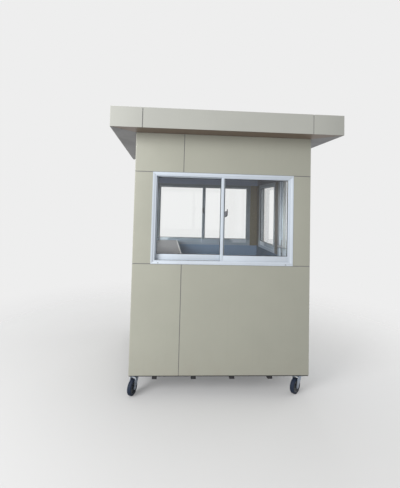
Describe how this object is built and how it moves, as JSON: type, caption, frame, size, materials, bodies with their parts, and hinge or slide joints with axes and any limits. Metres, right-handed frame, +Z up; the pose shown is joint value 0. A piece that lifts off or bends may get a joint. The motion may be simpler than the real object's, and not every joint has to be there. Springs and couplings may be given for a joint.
{
  "type": "security guard booth",
  "caption": "One-person guard booth on swivel casters: panel-clad cabin with sliding windows, a glazed side door, a flat overhanging roof box and a worktop inside.",
  "frame": {"origin": "centre of the plan on the ground, under the wheels", "axes": "+Z up; the service window faces -Y; the door is in the +X side"},
  "size_m": [1.88, 1.88, 2.317],
  "materials": {
    "composite_panel": "satin champagne beige",
    "soffit_panel": "satin, warm grey beige",
    "wall_lining": "satin olive beige",
    "joint_seal": "matte",
    "clear_glass": "clear float",
    "white_aluminium": "white powder coat",
    "dark_hardware": "satin dark grey",
    "satin_hardware": "satin",
    "frame_steel": "dark primer",
    "floor_vinyl": "grey sheet flooring",
    "caster_rubber": "worn matte rubber",
    "caster_zinc": "zinc plated",
    "roof_sheet": "pale grey",
    "counter_laminate": "laminate, pinkish grey",
    "counter_edging": "white edging"
  },
  "bodies": {
    "booth": {"back_cladding": "composite_panel", "back_wall": "wall_lining", "back_window_frame": "white_aluminium", "back_window_glass": "clear_glass", "back_window_sashes": "white_aluminium", "base_frame": "frame_steel", "caster_plates": "caster_zinc", "ceiling": "wall_lining", "counter_brackets": "frame_steel", "counter_edge": "counter_edging", "counter_top": "counter_laminate", "door_frame": "white_aluminium", "door_hinge_frame_leaves": "satin_hardware", "fascia": "composite_panel", "floor_bearers": "frame_steel", "floor_deck": "floor_vinyl", "front_cladding": "composite_panel", "front_wall": "wall_lining", "front_window_frame": "white_aluminium", "front_window_glass": "clear_glass", "front_window_sashes": "white_aluminium", "joint_seals": "joint_seal", "left_cladding": "composite_panel", "left_wall": "wall_lining", "left_window_frame": "white_aluminium", "left_window_glass": "clear_glass", "left_window_sashes": "white_aluminium", "right_cladding": "composite_panel", "right_wall": "wall_lining", "right_wall_lintel": "wall_lining", "right_window_frame": "white_aluminium", "right_window_glass": "clear_glass", "right_window_sashes": "white_aluminium", "roof_core": "roof_sheet", "roof_deck": "roof_sheet", "sash_latches": "dark_hardware", "soffit": "soffit_panel"},
    "door": {"door_leaf": "white_aluminium", "door_panel": "white_aluminium", "door_glass": "clear_glass", "door_handles": "satin_hardware", "door_hinge_door_leaves": "satin_hardware"},
    "swivel_front_left": {"caster_fork_front_left": "caster_zinc"},
    "wheel_front_left": {"caster_wheel_front_left": "caster_zinc", "caster_tyre_front_left": "caster_rubber"},
    "swivel_front_right": {"caster_fork_front_right": "caster_zinc"},
    "wheel_front_right": {"caster_wheel_front_right": "caster_zinc", "caster_tyre_front_right": "caster_rubber"},
    "swivel_back_left": {"caster_fork_back_left": "caster_zinc"},
    "wheel_back_left": {"caster_wheel_back_left": "caster_zinc", "caster_tyre_back_left": "caster_rubber"},
    "swivel_back_right": {"caster_fork_back_right": "caster_zinc"},
    "wheel_back_right": {"caster_wheel_back_right": "caster_zinc", "caster_tyre_back_right": "caster_rubber"}
  },
  "joints": [
    {"name": "door_hinge", "type": "hinge", "parent": "booth", "child": "door", "pos_m": [0.76, -0.6535, 1.1315], "axis": [0, 0, -1], "range_deg": [0, 100]},
    {"name": "caster_swivel_front_left", "type": "hinge", "parent": "booth", "child": "swivel_front_left", "pos_m": [-0.702, -0.69, 0.147], "axis": [0, 0, 1], "continuous": true},
    {"name": "caster_wheel_front_left", "type": "hinge", "parent": "swivel_front_left", "child": "wheel_front_left", "pos_m": [-0.71685, -0.72498, 0.0625], "axis": [0.9205, -0.3907, 0], "continuous": true},
    {"name": "caster_swivel_front_right", "type": "hinge", "parent": "booth", "child": "swivel_front_right", "pos_m": [0.676, -0.69, 0.147], "axis": [0, 0, 1], "continuous": true},
    {"name": "caster_wheel_front_right", "type": "hinge", "parent": "swivel_front_right", "child": "wheel_front_right", "pos_m": [0.64689, -0.71443, 0.0625], "axis": [0.6428, -0.766, 0], "continuous": true},
    {"name": "caster_swivel_back_left", "type": "hinge", "parent": "booth", "child": "swivel_back_left", "pos_m": [-0.702, 0.69, 0.147], "axis": [0, 0, 1], "continuous": true},
    {"name": "caster_wheel_back_left", "type": "hinge", "parent": "swivel_back_left", "child": "wheel_back_left", "pos_m": [-0.71685, 0.65502, 0.0625], "axis": [0.9205, -0.3907, 0], "continuous": true},
    {"name": "caster_swivel_back_right", "type": "hinge", "parent": "booth", "child": "swivel_back_right", "pos_m": [0.676, 0.69, 0.147], "axis": [0, 0, 1], "continuous": true},
    {"name": "caster_wheel_back_right", "type": "hinge", "parent": "swivel_back_right", "child": "wheel_back_right", "pos_m": [0.64689, 0.66557, 0.0625], "axis": [0.6428, -0.766, 0], "continuous": true}
  ]
}
